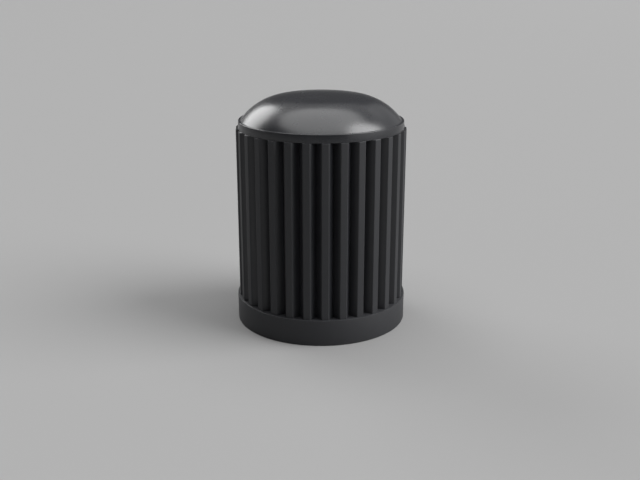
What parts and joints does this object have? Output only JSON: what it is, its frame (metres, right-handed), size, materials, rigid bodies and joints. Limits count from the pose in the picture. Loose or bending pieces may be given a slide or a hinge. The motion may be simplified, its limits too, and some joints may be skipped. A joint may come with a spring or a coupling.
{
  "type": "tyre valve cap",
  "caption": "Screw-on dust cap for a tyre valve: a moulded shell with a ribbed grip, a plain collar, a domed top and a blind threaded bore.",
  "frame": {"origin": "centre of the cap's underside, on the axis of the bore", "axes": "+Z along the axis of the bore, from the mouth to the dome; a rib is centred on +X"},
  "size_m": [0.01, 0.01, 0.0134],
  "materials": {
    "cap": "black, semi-gloss, as moulded"
  },
  "bodies": {
    "root": {"cap": "cap"}
  },
  "joints": []
}
